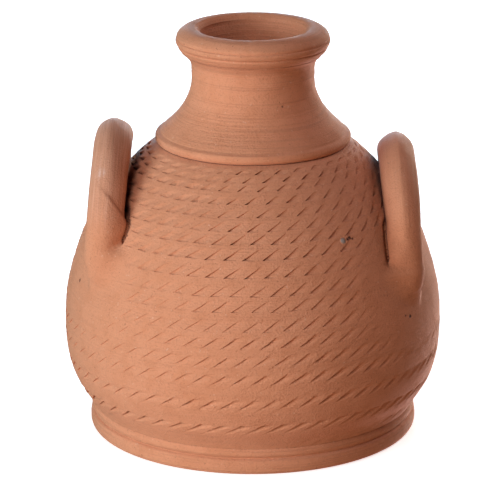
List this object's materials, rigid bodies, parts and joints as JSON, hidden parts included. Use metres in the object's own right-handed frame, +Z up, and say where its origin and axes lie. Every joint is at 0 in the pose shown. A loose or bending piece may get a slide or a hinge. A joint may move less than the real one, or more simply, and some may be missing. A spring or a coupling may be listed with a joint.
{
  "type": "amphora",
  "caption": "Squat terracotta jar for storage or display, with a wide roulette-stamped belly, a flared neck, a rolled lip, a foot band and upright coil handles at the sides.",
  "frame": {"origin": "centre of the foot's ground face, on the jar's axis", "axes": "+Z up along the jar's axis, -Y towards the front, handles at -X (the higher one) and +X"},
  "size_m": [0.0788, 0.0788, 0.085],
  "materials": {
    "thrown_clay": "matte unglazed terracotta, turned, with fine wheel lines and rolled stamp marks",
    "coil_clay": "matte unglazed terracotta, hand-pulled coil with fine streaks along it",
    "luting_clay": "matte unglazed terracotta, smeared smooth with a thumb"
  },
  "bodies": {
    "root": {"floor_disc": "thrown_clay", "foot_ring": "thrown_clay", "belly_wall": "thrown_clay", "shoulder_wall": "thrown_clay", "neck_collar": "thrown_clay", "lip": "thrown_clay", "handle_left": "coil_clay", "handle_right": "coil_clay", "luting_pad_left_front": "luting_clay", "luting_pad_left_back": "luting_clay", "luting_pad_right_front": "luting_clay", "luting_pad_right_back": "luting_clay"}
  },
  "joints": []
}
